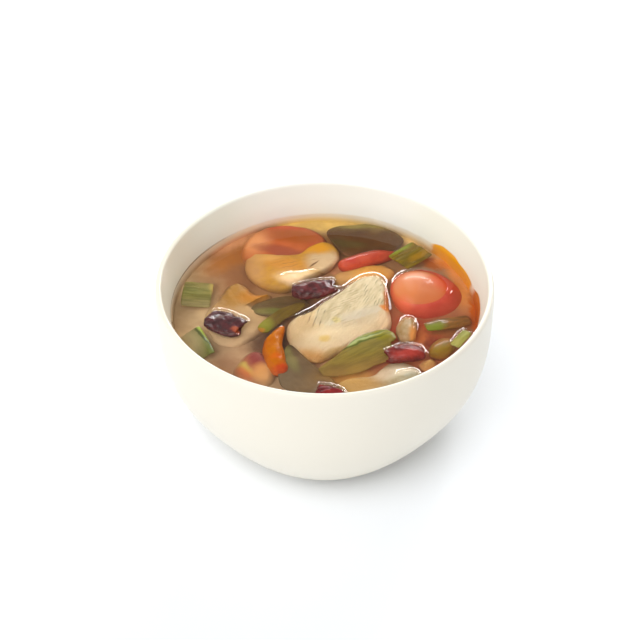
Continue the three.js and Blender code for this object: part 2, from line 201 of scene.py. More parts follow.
def slab(name, outline, depth, thickness, tilt=(0, 0), rim=1.9, steps=(0.2, 0.55, 0.25),
         levels=3):
    """A slab with a closed outline and round edges, its top at depth below the broth's surface.
    steps are the shares of the thickness in its side and in the two rings inside it, each rim
    wide, and tilt is a rise per mm along X and Y round the outline's middle."""
    bpy.ops.mesh.primitive_circle_add(vertices=len(outline), fill_type="NGON")
    obj = bpy.context.object
    obj.name = name
    for vertex, (x, y) in zip(obj.data.vertices, outline):
        vertex.co = (x * MM, y * MM, (SOUP_LEVEL - depth - thickness) * MM)
    with editing(obj, "FACE"):
        bpy.ops.mesh.extrude_region_move(
            TRANSFORM_OT_translate={"value": (0, 0, steps[0] * thickness * MM)})
        for share in steps[1:]:
            bpy.ops.mesh.inset(thickness=rim * MM)
            bpy.ops.transform.translate(value=(0, 0, share * thickness * MM))
        bpy.ops.mesh.select_all(action="SELECT")
        bpy.ops.mesh.normals_make_consistent(inside=False)
    middle = [sum(point[axis] for point in outline) / len(outline) * MM for axis in (0, 1)]
    for vertex in obj.data.vertices:
        vertex.co.z += sum(tilt[axis] * (vertex.co[axis] - middle[axis]) for axis in (0, 1))
    modify(obj, "SUBSURF", levels=levels, render_levels=levels)
    return obj


def disc(name, cells, reach, radius, height):
    """A square grid of that many cells each way and twice the reach wide, cut to a disc;
    lengths in metres."""
    bpy.ops.mesh.primitive_grid_add(x_subdivisions=cells, y_subdivisions=cells, size=2 * reach)
    obj = bpy.context.object
    obj.name = name
    with editing(obj):
        bpy.ops.transform.translate(value=(0, 0, height))
    with editing_where(obj, lambda vertex: math.hypot(vertex.co.x, vertex.co.y) > radius):
        bpy.ops.mesh.delete(type="VERT")
    return obj


def finish(obj, material, slot, *nodes):
    """Smooth shading, material and body of a piece, and the CAD nodes it stands for; slot is not
    used.
    """
    only(obj)
    bpy.ops.object.shade_smooth()
    obj.data.materials.clear()
    obj.data.materials.append(material)
    if nodes:
        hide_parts(*nodes)
    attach(obj, "root")


# ----- materials

SMOOTH = {"interpolation_type": "SMOOTHSTEP"}


def wire(tree, made, inputs):
    """Links a node's inputs to sockets, or fills them with values or hex colours."""
    for key, value in inputs.items():
        if isinstance(value, bpy.types.NodeSocket):
            tree.links.new(value, made.inputs[key])
        else:
            made.inputs[key].default_value = linear(value) if isinstance(value, str) else value


def node(tree, kind, settings, inputs, output=0):
    """Adds one shader node with its settings and its inputs, and returns one of its outputs."""
    made = tree.nodes.new("ShaderNode" + kind)
    for key, value in settings.items():
        setattr(made, key, value)
    wire(tree, made, inputs)
    return made.outputs[output]


def blank(name):
    """A new material: its node tree and its Principled shader."""
    material = bpy.data.materials.new(name)
    material.use_nodes = True
    return material, material.node_tree, material.node_tree.nodes["Principled BSDF"]


def by_level(tree, height, start, end, most=1.0):
    """A share that rises smoothly from 0 to most between two heights over the broth's level."""
    return node(tree, "MapRange", SMOOTH, {
        "Value": height, "From Min": (SOUP_LEVEL + start) * MM,
        "From Max": (SOUP_LEVEL + end) * MM, "To Max": most})


def all_of(tree, share, *others):
    """The share where all of these shares hold together."""
    for other in others:
        share = node(tree, "Math", {"operation": "MULTIPLY"}, {0: share, 1: other})
    return share


def layered(tree, base, layers):
    """base with colours laid over it in turn; a layer is its share and its colour."""
    for share, colour in layers:
        base = node(tree, "Mix", {"data_type": "RGBA"}, {0: share, 6: base, 7: colour}, 2)
    return base


def blots(tree, place, feature, detail=2.0, stretch=None, turn=0.0, output="Fac"):
    """Random blots about feature across; stretch lengthens them along X, before the turn."""
    if stretch:
        place = node(tree, "Mapping", {"vector_type": "TEXTURE"}, {
            "Vector": place, "Rotation": (0, 0, math.radians(turn)), "Scale": (stretch, 1, 1)})
    return node(tree, "TexNoise", {}, {
        "Vector": place, "Scale": 1 / (feature * MM), "Detail": detail, "Roughness": 0.6}, output)


def drifting(tree, place, wander):
    """place, shifted by blots, so that zones get ragged edges."""
    drift = blots(tree, place, 5.0, output="Color")
    pushed = node(tree, "VectorMath", {"operation": "MULTIPLY_ADD"}, {
        0: drift, 1: (2 * wander * MM,) * 3, 2: place})
    return node(tree, "VectorMath", {"operation": "SUBTRACT"}, {
        0: pushed, 1: (wander * MM,) * 3})


def zone(tree, place, x, y, across, along, turn, soft=0.5, share=0.9):
    """share inside an upright elliptic zone round (x, y), falling to 0 at its edge."""
    local = node(tree, "Mapping", {"vector_type": "TEXTURE"}, {
        "Vector": place, "Location": (x * MM, y * MM, 0),
        "Rotation": (0, 0, math.radians(turn)), "Scale": (across * MM, along * MM, 1)})
    length = node(tree, "VectorMath", {"operation": "LENGTH"}, {0: local}, "Value")
    return node(tree, "MapRange", SMOOTH, {
        "Value": length, "From Min": 1 + soft, "From Max": 1 - soft, "To Max": share})


def painted(tree, place, base, zones):
    """base with zones of other colours: x, y, half sizes, turn and colour, then softness and
    share where they aren't the usual ones."""
    return layered(tree, base, [
        (zone(tree, place, x, y, across, along, turn, *rest), code)
        for x, y, across, along, turn, code, *rest in zones])


# Zones where the broth's cloudy depth has another colour; two of them are painted light.
CLOUDS = [
    (-40, -30, 34, 26, -40, "#d0bca2", 0.6),
    # Lighter by the left wall: painted light for what the broth scatters onto the shaded wall.
    (-62, 4, 16, 40, 0, "#d6c6a6", 0.6),
    (-40, 24, 12, 14, 0, "#9a6e50", 0.7, 0.7),
    (-40, -37, 11, 7, -40, "#a08069", 0.6, 0.85),
    (38, -18, 34, 34, 0, "#b67058", 0.6),
    (43, -12, 18, 8, 0, "#b44834", 0.6, 0.8),
    (56, -10, 10, 7, 0, "#907044", 0.6, 0.7),
    (42, -16, 3.5, 7, 0, "#d88450", 0.6, 0.8),
    (47.5, -19.5, 4, 4, 0, "#742c2c", 0.6, 0.7),
    (8, -42, 12, 5, 8, "#e0b068", 0.6),
    (16, 50, 16, 12, 0, "#9a6c2c", 0.6, 0.7),
    # Lighter between the browned slice and the red chili: painted light over the slice's shadow.
    (5, 35, 7, 5, 20, "#f0b088", 0.6),
    (50, 38, 7, 5, -50, "#bc6414", 0.6, 0.8),
    (-4, -6, 16, 26, -30, "#7c5a44", 0.6, 0.8),
    (-25, -20, 9, 9, -40, "#56443f", 0.6),
    (-42, 44, 20, 8, 48, "#b87730", 0.6, 0.8),
    (-44.5, 51.5, 13, 4.5, 39, "#f0bc94", 0.6, 0.75),
    (8, 67, 46, 8, -4, "#f6df87", 0.5, 0.95),
    (57, 38, 16, 4.5, -54, "#e88e10", 0.5, 0.85),
    (43, 52, 16, 4.5, -44, "#fbe2a2"),
    (62, 22, 5, 17, 4, "#eca456", 0.6, 0.8),
    (67.4, -1, 2.4, 12, 4, "#c86400"),
]


def cloud_colour(tree, place):
    """Colour of the broth's cloudy depth."""
    soup = bpy.context.scene.soup_broth
    return painted(tree, drifting(tree, place, 3.0), soup.cloud, CLOUDS)


def cracked(tree, place, moved, code, spacing, angle, thin, *ellipse):
    """A layer of dark cracks between fibres that run at angle, spacing apart, inside a zone."""
    turned = node(tree, "Mapping", {"vector_type": "TEXTURE"}, {
        "Vector": place, "Rotation": (0, 0, math.radians(angle - 90))})
    waves = node(tree, "TexWave", {}, {
        "Vector": turned, "Scale": 2 * math.pi / (20 * spacing * MM), "Distortion": 5,
        "Detail": 3, "Detail Scale": 0.8, "Detail Roughness": 0.6}, "Fac")
    lines = node(tree, "MapRange", SMOOTH, {"Value": waves, "From Min": 1 - thin})
    patches = node(tree, "MapRange", SMOOTH, {
        "Value": blots(tree, place, 2.0 * spacing, 2, 2.5, angle),
        "From Min": 0.48, "From Max": 0.62})
    inside = zone(tree, moved, *ellipse, 0.4, 1.0)
    return all_of(tree, lines, patches, inside), code


def food(name, colour, shade, feature=3.0, contrast=0.15, stretch=None, turn=0.0, zones=(),
         cracks=(), emerged=None, rough=0.45, shine=0.2, coat=0.3, bump=0.2, grain=1.5,
         clarity=None, clear_to=0.0, subsurface=0.0):
    """A wet piece of food, mottled between two colours in blots of a feature's size.

    emerged is the colour above the broth, where a film of it, the coat, shines: partly a painted
    sheen.
    Below clear_to the piece fades with depth into the broth's own cloudy colour, and at
    clarity, or else the broth's own, it has gone. bump and grain are the height and the size of
    its finest relief, and stretch and turn lay relief and blots along its fibres or ribs."""
    soup = bpy.context.scene.soup_broth
    material, tree, shader = blank(name)
    place = node(tree, "TexCoord", {}, {}, "Object")
    height = node(tree, "SeparateXYZ", {}, {0: place}, "Z")
    moved = drifting(tree, place, 1.2)
    layers = [(node(tree, "MapRange", SMOOTH, {
        "Value": blots(tree, place, feature, 4, stretch, turn),
        "From Min": 0.5 - contrast, "From Max": 0.5 + contrast}), shade)]
    if emerged:
        layers.append((by_level(tree, height, 0.15, 0.4), emerged))
    base = painted(tree, moved, layered(tree, colour, layers), zones)
    faded = node(tree, "MapRange", {}, {
        "Value": height, "From Min": (SOUP_LEVEL - clear_to) * MM, "To Max": 0.97,
        "From Max": (SOUP_LEVEL - (clarity or soup.clarity / MM)) * MM})
    base = layered(tree, base, [
        *(cracked(tree, place, moved, *crack) for crack in cracks),
        (faded, cloud_colour(tree, place))])
    relief = node(tree, "Bump", {}, {
        "Distance": bump * MM, "Height": blots(tree, place, grain, 5, stretch, turn)})
    wire(tree, shader, {
        "Base Color": base, "Roughness": rough, "Specular IOR Level": shine,
        "Coat Weight": by_level(tree, height, -0.3, 0.5, coat), "Coat Roughness": 0.05,
        "Coat IOR": 1.4, "Normal": relief, "Subsurface Weight": subsurface})
    if subsurface:
        wire(tree, shader, {"Subsurface Radius": (1, 0.5, 0.25), "Subsurface Scale": 2 * MM})
    return material


# ----- the bowl

# Radius of the middle of the wall at the broth's level, and how fast it shrinks below, per
# metre. It tells the inside of the wall from its outside.
WALL_MIDDLE = 71.2
WALL_BOW = 7.5

# Painted shade on the left of the inside, away from the light, and painted light at the back.
INSIDE_SHADE_AND_LIGHT = [(-69, 0, 16, 50, 0, "#eee7d4"), (6, 69, 54, 16, 0, "#fffef6")]

# Oil that has crept up the wall: x, y, half sizes, turn, how high it reaches, colour.
WALL_OIL = [
    (57.5, 37.5, 5, 9, 33, 60.4, "#f6aa00"),
    (62.5, 27, 4, 9, 26, 59.3, "#eeaa10"),
    (68.6, -1.5, 4, 11, 0, 61.2, "#cc6c00"),
]


class SoupBowl(bpy.types.PropertyGroup):
    glaze: tint("Glaze", "Colour of the glazed porcelain", "#efe9da")
    # The inside is painted lighter than the outside, though it is the same glaze: painted light.
    inside: tint("Inside", "Colour of the glaze on the inside", "#f6f6e8")
    gloss: number("Glaze roughness", "Roughness of the glaze", 0.32, min=0, max=1)


class SOUP_OT_bowl(bpy.types.Operator):
    """Thick porcelain bowl with a round rim and a softly squared base"""
    bl_idname = "soup.bowl"
    bl_label = "Bowl"

    def execute(self, context):
        obj = copy_of("bowl", "porcelain_bowl", 2)
        finish(obj, self.porcelain(context.scene.soup_bowl), "porcelain", "bowl")
        return {"FINISHED"}

    def porcelain(self, own):
        """Glazed porcelain, satin, and left bare and matt where the foot stands."""
        material, tree, shader = blank("glazed_porcelain")
        place = node(tree, "TexCoord", {}, {}, "Object")
        height = node(tree, "SeparateXYZ", {}, {0: place}, "Z")
        flat = node(tree, "VectorMath", {"operation": "MULTIPLY"}, {0: place, 1: (1, 1, 0)})
        outward = node(tree, "VectorMath", {"operation": "DOT_PRODUCT"}, {
            0: flat, 1: place.node.outputs["Normal"]}, "Value")
        facing_in = node(tree, "Math", {"operation": "LESS_THAN"}, {0: outward, 1: 0.0})
        bare = node(tree, "MapRange", SMOOTH, {
            "Value": height, "From Min": 1.2 * MM, "From Max": 0.5 * MM})
        # Inner half of the wall, where the broth and its oil can colour it.
        radius = node(tree, "VectorMath", {"operation": "LENGTH"}, {0: flat}, "Value")
        drop = node(tree, "Math", {"operation": "SUBTRACT"}, {0: SOUP_LEVEL * MM, 1: height})
        square = node(tree, "Math", {"operation": "MULTIPLY"}, {0: drop, 1: drop})
        bowed = node(tree, "Math", {"operation": "MULTIPLY_ADD"}, {
            0: square, 1: WALL_BOW, 2: radius})
        inner = node(tree, "Math", {"operation": "LESS_THAN"}, {0: bowed, 1: WALL_MIDDLE * MM})
        # Seen through the broth, the wall fades into its cloudy colour within a few mm.
        murky = by_level(tree, height, -0.8, -MURK_DEPTH, 0.97)
        # On the left, a faint ring of oil where the broth touches the wall.
        above, below = by_level(tree, height, -0.4, 0.3), by_level(tree, height, 1.1, 0.5)
        leftward = node(tree, "MapRange", SMOOTH, {
            "Value": height.node.outputs["X"], "From Min": -35 * MM, "From Max": -64 * MM,
            "To Max": 0.8})
        layers = [
            # The inside's colour and its zones are painted light and shade on a glaze of one
            # colour.
            (facing_in, painted(tree, place, own.inside, INSIDE_SHADE_AND_LIGHT)), (bare, "#e6ddcc"),
            (all_of(tree, inner, murky), cloud_colour(tree, place)),
            (all_of(tree, inner, above, below, leftward), "#8a6a34"),
        ]
        # On the right, oil up to an edge that is highest in the middle of each patch.
        moved = drifting(tree, place, 1.2)
        for *ellipse, top, code in WALL_OIL:
            patch = zone(tree, moved, *ellipse, 0.6, 1.0)
            edge = node(tree, "Math", {"operation": "MULTIPLY_ADD"}, {
                0: patch, 1: (top - SOUP_LEVEL) * MM, 2: SOUP_LEVEL * MM})
            thick = node(tree, "MapRange", SMOOTH, {"Value": patch, "From Max": 0.4})
            over = node(tree, "Math", {"operation": "SUBTRACT"}, {0: height, 1: edge})
            under = node(tree, "MapRange", SMOOTH, {
                "Value": over, "From Min": 0.3 * MM, "From Max": -0.3 * MM, "To Max": 0.97})
            layers.append((all_of(tree, inner, thick, under), code))
        wire(tree, shader, {
            "Base Color": layered(tree, own.glaze, layers), "IOR": 1.5,
            "Roughness": node(tree, "Math", {"operation": "MULTIPLY_ADD"}, {
                0: bare, 1: 0.4, 2: own.gloss})})
        return material


# ----- the broth

# How high the broth climbs, and how far out, at the pieces that break its surface.
WATERLINES = {
    (0.2, 4.5): [
        "red_chili_pod", "scallion_blade_left", "scallion_blade_lower_left",
        "scallion_blade_back_right", "lime_leaf_center", "scallion_sliver_right"],
    (0.3, 4.5): ["orange_chili_pod"],
    (0.5, 6): ["chicken_slice_back_left"],
    (0.8, 6): ["dried_chili_piece_center", "dried_chili_piece_right"],
    (0.9, 6): ["chicken_nub_right", "scallion_blade_lower_right"],
    (0.9, 7): ["tomato_half_right"],
    (0.9, 8): ["chicken_slice_front_right"],
    (1.1, 6.8): ["dried_chili_piece_left", "dried_chili_piece_front"],
    (1.35, 10): ["chicken_slice_center"],
}

# Side of the broth below its surface, from the top down: height and radius.
BODY_RINGS = [(46, 69.6), (34, 67.6), (24, 63.8), (16, 58.4), (11, 51.5), (6, 40)]


class SoupBroth(bpy.types.PropertyGroup):
    reach: size("Reach", "Radius of the broth, which ends inside the wall", 70.2)
    wall: size("Wall radius", "Inside radius of the bowl at the broth's surface", 68.3)
    cell: size("Cell", "Size of the surface's widest facets", 1.0)
    cloud: tint("Cloudy depth", "Colour that deep pieces fade into", "#a98966")
    clarity: size("Clarity", "Depth at which a piece has faded away", 9)
    absorbs: number("Absorption", "Density of the broth's colour", 25, min=0)


def waterline(names):
    """One flat object: what these pieces cut out of the broth's surface."""
    parts = []
    for name in names:
        copy = new_object(name + "_line", bpy.data.objects[name].data.copy())
        with editing(copy):
            bpy.ops.mesh.bisect(
                plane_co=(0, 0, SOUP_LEVEL * MM), plane_no=(0, 0, 1), use_fill=True,
                clear_inner=True, clear_outer=True)
            bpy.ops.mesh.vertices_smooth(factor=0.5, repeat=12)
        if not copy.data.polygons:
            raise RuntimeError(f"{name} doesn't break the broth's surface")
        parts.append(copy)
    only(parts[0])
    for part in parts:
        part.select_set(True)
    if len(parts) > 1:
        bpy.ops.object.join()
    return bpy.context.object


def weigh(obj, target, reach, part, falloff):
    """Gives obj the vertex group "near": 1 at target's faces or edges, 0 beyond the reach."""
    group = obj.vertex_groups.new(name="near")
    group.add(range(len(obj.data.vertices)), 1.0, "REPLACE")
    modify(obj, "VERTEX_WEIGHT_PROXIMITY", vertex_group="near", target=target,
           proximity_mode="GEOMETRY", proximity_geometry={part}, min_dist=reach * MM,
           max_dist=0, falloff_type=falloff)


def climb(obj, target, height, reach, part="FACE"):
    """Raises obj's surface to height at target, and ever less as far out as the reach."""
    weigh(obj, target, reach, part, "SHARP")
    modify(obj, "VERTEX_WEIGHT_EDIT", vertex_group="near", falloff_type="SHARP",
           default_weight=0)
    modify(obj, "DISPLACE", vertex_group="near", direction="Z", mid_level=0,
           strength=height * MM)
    obj.vertex_groups.remove(obj.vertex_groups["near"])
    bpy.data.objects.remove(target)


def refine(obj, target, reach):
    """Divides obj's faces within reach of target's edges."""
    weigh(obj, target, reach, "EDGE", "LINEAR")
    index = obj.vertex_groups["near"].index
    near = {vertex.index for vertex in obj.data.vertices
            if any(each.group == index and each.weight > 0 for each in vertex.groups)}
    obj.vertex_groups.remove(obj.vertex_groups["near"])
    with editing_where(obj, lambda vertex: vertex.index in near):
        bpy.ops.mesh.subdivide(number_cuts=2)
    bpy.data.objects.remove(target)


class SOUP_OT_broth(bpy.types.Operator):
    """Clear amber broth that climbs at each piece that breaks its surface"""
    bl_idname = "soup.broth"
    bl_label = "Broth"

    def execute(self, context):
        own = context.scene.soup_broth
        level = SOUP_LEVEL * MM
        obj = disc("broth_body", int(2 * own.reach / own.cell), own.reach, own.reach, level)
        with editing_where(obj, lambda vertex: False):
            bpy.ops.mesh.select_non_manifold(extend=False, use_boundary=True)
            bpy.ops.transform.tosphere(value=1)
        refine(obj, waterline(sum(WATERLINES.values(), [])), reach=3.4)
        bpy.ops.mesh.primitive_circle_add(vertices=180, radius=own.wall, location=(0, 0, level))
        climb(obj, context.object, height=0.4, reach=3.5, part="EDGE")
        for (height, reach), names in WATERLINES.items():
            climb(obj, waterline(names), height, reach)
        self.close_below(obj, own)
        finish(obj, self.clear_broth(own), "broth", "broth")
        self.cloudy_depth()
        return {"FINISHED"}

    def close_below(self, obj, own):
        """Draws the surface's edge down to the bottom of the bowl, ring by ring."""
        with editing(obj, "EDGE"):
            bpy.ops.mesh.select_all(action="DESELECT")
            bpy.ops.mesh.select_non_manifold(
                extend=False, use_boundary=True, use_wire=False, use_multi_face=False,
                use_non_contiguous=False, use_verts=False)
            last_height, last_radius = SOUP_LEVEL, own.reach / MM
            for height, radius in BODY_RINGS:
                bpy.ops.mesh.extrude_region_move(
                    TRANSFORM_OT_translate={"value": (0, 0, (height - last_height) * MM)})
                share = radius / last_radius
                bpy.ops.transform.resize(value=(share, share, 1), center_override=(0, 0, 0))
                last_height, last_radius = height, radius
            bpy.ops.mesh.edge_face_add()
            bpy.ops.mesh.select_all(action="SELECT")
            bpy.ops.mesh.normals_make_consistent(inside=False)

    def clear_broth(self, own):
        """Clear broth, slightly oily: sharp reflections, amber with depth."""
        material, tree, shader = blank("clear_amber_broth")
        wire(tree, shader, {
            "Base Color": "#fff8ee", "Transmission Weight": 1, "Roughness": 0.01, "IOR": 1.36})
        # It throws no shadow of its own on the pieces below.
        clear = node(tree, "BsdfTransparent", {}, {"Color": "#fffaf2"})
        shadow = node(tree, "LightPath", {}, {}, "Is Shadow Ray")
        wire(tree, tree.nodes["Material Output"], {
            "Surface": node(tree, "MixShader", {}, {0: shadow, 1: shader.outputs[0], 2: clear}),
            "Volume": node(tree, "VolumeAbsorption", {}, {
                "Color": (0.80, 0.52, 0.15, 1), "Density": own.absorbs})})
        return material

    def cloudy_depth(self):
        """The cloudy depth of the broth, where nothing can be made out any more."""
        obj = disc("broth_cloudy_depth", 90, 70 * MM, 69.8 * MM, (SOUP_LEVEL - MURK_DEPTH) * MM)
        crumple(obj, 16, 3, direction="Z")
        modify(obj, "SOLIDIFY", thickness=2 * MM)
        # Broth full of fine scraps and fat: matt, in slow drifts of colour.
        material, tree, shader = blank("cloudy_broth")
        place = node(tree, "TexCoord", {}, {}, "Object")
        drifts = node(tree, "MapRange", SMOOTH, {
            "Value": blots(tree, place, 10), "From Min": 0.3, "From Max": 0.7, "To Max": 0.3})
        wire(tree, shader, {
            "Base Color": layered(tree, cloud_colour(tree, place), [(drifts, "#8a6248")]),
            "Roughness": 0.9, "Specular IOR Level": 0})
        finish(obj, material, "broth")


# ----- chicken

# Slices wholly under the surface: name, outline, depth of the top, thickness, two colours,
# zones of other colours, and the tilt of one of them.
SUNK_CHICKEN = [
    ("chicken_sunk_behind",
     [(1, 26), (9.3, 30.8), (20.8, 35.2), (29, 34), (33.4, 29.6), (33, 23), (24, 19), (12, 16),
      (3, 17)], 1.8, 6, "#dfac50", "#cf9642",
     [(5, 24, 9, 8, 0, "#b48c58", 0.6, 0.85), (31, 30, 4, 5, 0, "#cc9656", 0.6, 0.7)]),
    ("chicken_sunk_left",
     [(-50, 8), (-47, 15.5), (-43.2, 20.4), (-38.6, 21.4), (-33.9, 17.2), (-31.5, 12.2),
      (-26.6, 13.9), (-22.9, 12.1), (-24, 8), (-31.6, 4), (-24, 1), (-20, -6), (-27, -14),
      (-34, -22), (-43.4, -26), (-51, -21), (-55, -8), (-54, 2)],
     2.4, 8, "#a47a34", "#a8844e",
     [(-42, -14, 16, 13, 20, "#d6be98"), (-30, -4, 10, 9, 30, "#b89c74", 0.5, 0.8),
      (-31, 9, 8, 4.5, 0, "#b87c24", 0.5, 0.85)], (0.05, 0.08)),
    ("chicken_sunk_right",
     [(40, -34), (43.5, -30.5), (48, -30), (49.5, -34.5), (45.5, -39), (41, -39)],
     2.4, 4, "#d6ae70", "#c89e5e", []),
]


class SoupChicken(bpy.types.PropertyGroup):
    meat: tint("Meat", "Colour of the large slice of poached breast", "#e2cea6")
    browned: tint("Browned", "Colour of the oily, browned slice", "#c59628")
    pale: tint("Pale", "Colour of the slice at the front", "#a8a088")


class SOUP_OT_chicken(bpy.types.Operator):
    """Slices of poached breast, one of them with its fibres out of the broth"""
    bl_idname = "soup.chicken"
    bl_label = "Chicken"

    def execute(self, context):
        own = context.scene.soup_chicken
        self.large_slice(own)
        self.browned_slice(own)
        self.pale_slice(own)
        self.nub()
        self.sunk_slices()
        return {"FINISHED"}

    def large_slice(self, own):
        """The large slice, standing out of the broth."""
        obj = copy_of("chicken_center", "chicken_slice_center", 3, 0.2)
        stand_out(obj, 1.3, 2, -12)
        crumple(obj, 4.5, 0.7, along=(62, 2.5))
        crumple(obj, 1.5, 0.35, along=(62, 3))
        crumple(obj, 0.8, 0.12, along=(62, 3))
        # Poached breast cut across its fibres: matt, pale, with dark cracks between them.
        meat = food(
            "poached_chicken_fibrous", own.meat, "#c6b086", zones=[
                (-12, -14, 9, 12, 20, "#c8b08a"),
                (6, -18, 18, 7, 24, "#e8dabc"),
                (18, -7, 15, 4, 24, "#d8c8ac"),
                (-5, -32, 9, 5, -24, "#cc9850", 0.6, 0.85),
                (27.4, -10, 4, 7, 0, "#e8d2b2", 0.5, 0.8),
                (7, -26.5, 8, 2.4, 24, "#b08c34", 0.5, 0.6),
                (28.1, 6, 1.8, 9, -4, "#c87a24", 0.4),
                (26.6, -1, 2, 1.6, 0, "#e0882c"),
                (0, -20, 2.4, 1.8, 0, "#e0c050", 0.6, 0.6),
                (5, -10, 2, 1.5, 0, "#dcc460", 0.6, 0.5),
                (-3, 3, 7, 1.2, 42, "#6c5c40", 0.6, 0.6),
            ], cracks=[
                ("#6a5638", 2.6, 74, 0.10, 0, -5, 9, 9, 0),
                ("#8a7a5a", 1.3, 66, 0.22, 21, 10, 6, 13, 0),
                ("#b09a70", 1.4, 30, 0.20, 6, 2, 14, 14, 0),
            ], feature=2.2, stretch=4, turn=62, contrast=0.2, grain=0.9, bump=0.8,
            rough=0.6, coat=0.12, clarity=15, subsurface=0.15)
        finish(obj, meat, "chicken", "chicken_center")

    def browned_slice(self, own):
        """A slice nearly under the surface, its front edge just out of it."""
        obj = copy_of("chicken_back_left", "chicken_slice_back_left", 3)
        crumple(obj, 5, 0.8)
        pull(obj, -13, 20, 13, 4.5, -4, (0, 0, 1.1))
        pull(obj, -10, 28.5, 16, 5, 0, (0, 0, -0.8))
        crumple(obj, 1.8, 0.25)
        # Poached breast with oil and browning on its back edge: amber, paler to the front.
        meat = food(
            "browned_chicken", own.browned, "#b4822c", zones=[
                (-9, 21, 12.5, 5, -8, "#dcc49c"),
                (-11, 18.6, 9, 3, -14, "#f0d2aa", 0.5, 0.85),
                (0, 33, 9, 8, -30, "#c6b08e", 0.4, 0.95),
                (-5, 44, 8, 4.5, -12, "#d89c1c", 0.5, 0.95),
                (-20, 33, 10, 4, -14, "#d0922f", 0.5, 0.8),
                (-29, 38, 9, 4, 0, "#e8b868", 0.5, 0.75),
                (-31.6, 27.1, 1.5, 2.4, 0, "#8a6238", 0.6, 0.6),
                (-35, 29, 6, 12, 12, "#d8ac70", 0.7, 0.75),
                (-5, 31.6, 3, 0.4, 44, "#5c3e24", 0.4),
            ], cracks=[("#8a6234", 2.2, 20, 0.08, -12, 30, 16, 8, 0)],
            contrast=0.25, coat=0.2, clarity=8)
        finish(obj, meat, "chicken", "chicken_back_left")

    def pale_slice(self, own):
        """The slice at the front wall."""
        obj = copy_of("chicken_front_right", "chicken_slice_front_right", 3)
        stand_out(obj, 1.7)
        pull(obj, 32, -38, 13, 7, 6, (0, 3.6, -0.4))
        crumple(obj, 5, 0.6)
        # Plain poached breast, washed pale.
        meat = food("pale_chicken", own.pale, "#9c9070", zones=[
            (8, -50, 16, 6, 12, "#b4924a"), (30, -42, 9, 4, 14, "#cdc4b0", 0.5, 0.8)], coat=0.2)
        finish(obj, meat, "chicken", "chicken_front_right")

    def nub(self):
        """A small upright bit of meat."""
        obj = copy_of("chicken_bit_right", "chicken_nub_right", 3, 0.4)
        crumple(obj, 3, 0.5, along=(70, 2))
        # Darker meat with oil down one side.
        meat = food("chicken_nub_meat", "#b0936b", "#a08256", zones=[
            (40.5, -20, 3, 7, 12, "#dc9448", 0.4)], coat=0.2, clarity=14)
        finish(obj, meat, "chicken", "chicken_bit_right")

    def sunk_slices(self):
        """Slices that lie wholly under the surface, ragged and blurred by the broth."""
        for name, outline, depth, thickness, first, second, zones, *tilt in SUNK_CHICKEN:
            obj = slab(name, outline, depth, thickness, *tilt)
            crumple(obj, 6, 1.6)
            crumple(obj, 2.5, 0.5)
            meat = food(name + "_meat", first, second, zones=zones, feature=5, contrast=0.25,
                        clear_to=depth, clarity=MURK_DEPTH)
            finish(obj, meat, "chicken")


# ----- tomatoes

# Tomatoes wholly under the surface: name, outline, depth of the top, thickness, two colours,
# and zones of other colours.
SUNK_TOMATOES = [
    ("tomato_sunk_back_left",
     [(-40.1, 34), (-39.7, 46.7), (-36.5, 55), (-31, 61.5), (-23, 65), (-11.7, 64.4),
      (-2.3, 59.5), (3.4, 51.5), (0, 42), (-12, 37), (-28, 33)], 2.4, 7, "#c86c3a", "#b45a26",
     [(-20, 63, 22, 4, -4, "#cc4c2c"), (-2, 52, 6, 7, -30, "#c45834", 0.5, 0.8),
      (-34, 50, 7, 9, 10, "#f2b078", 0.7, 0.85), (-14, 53, 11, 4.5, -8, "#a85818", 0.5, 0.85),
      (-20, 42.5, 13, 3.4, -16, "#a0503c", 0.5, 0.8)]),
    ("tomato_sunk_front_left",
     [(-40.8, -39.7), (-37.6, -33.4), (-34.6, -26.6), (-27.3, -24.9), (-22.5, -32.1),
      (-19.5, -44), (-26, -50), (-34, -48)], 1.4, 6, "#b07850", "#a26440",
     [(-27.5, -32, 10, 7, -60, "#7a2028", 0.5, 0.95), (-34.6, -38.3, 2, 6, 32, "#b8a850"),
      (-36, -42, 6, 3.5, -40, "#c0683a"), (-26, -42, 5, 6, 20, "#d09c5c", 0.5, 0.8)]),
]


class SoupTomatoes(bpy.types.PropertyGroup):
    skin: tint("Skin", "Colour of the tomato under the broth", "#cf5440")
    # Its colour above the broth is partly a painted sheen of reflected light.
    crown_and_sheen: tint("Crown", "Colour of what stands out of the broth", "#cc7240")


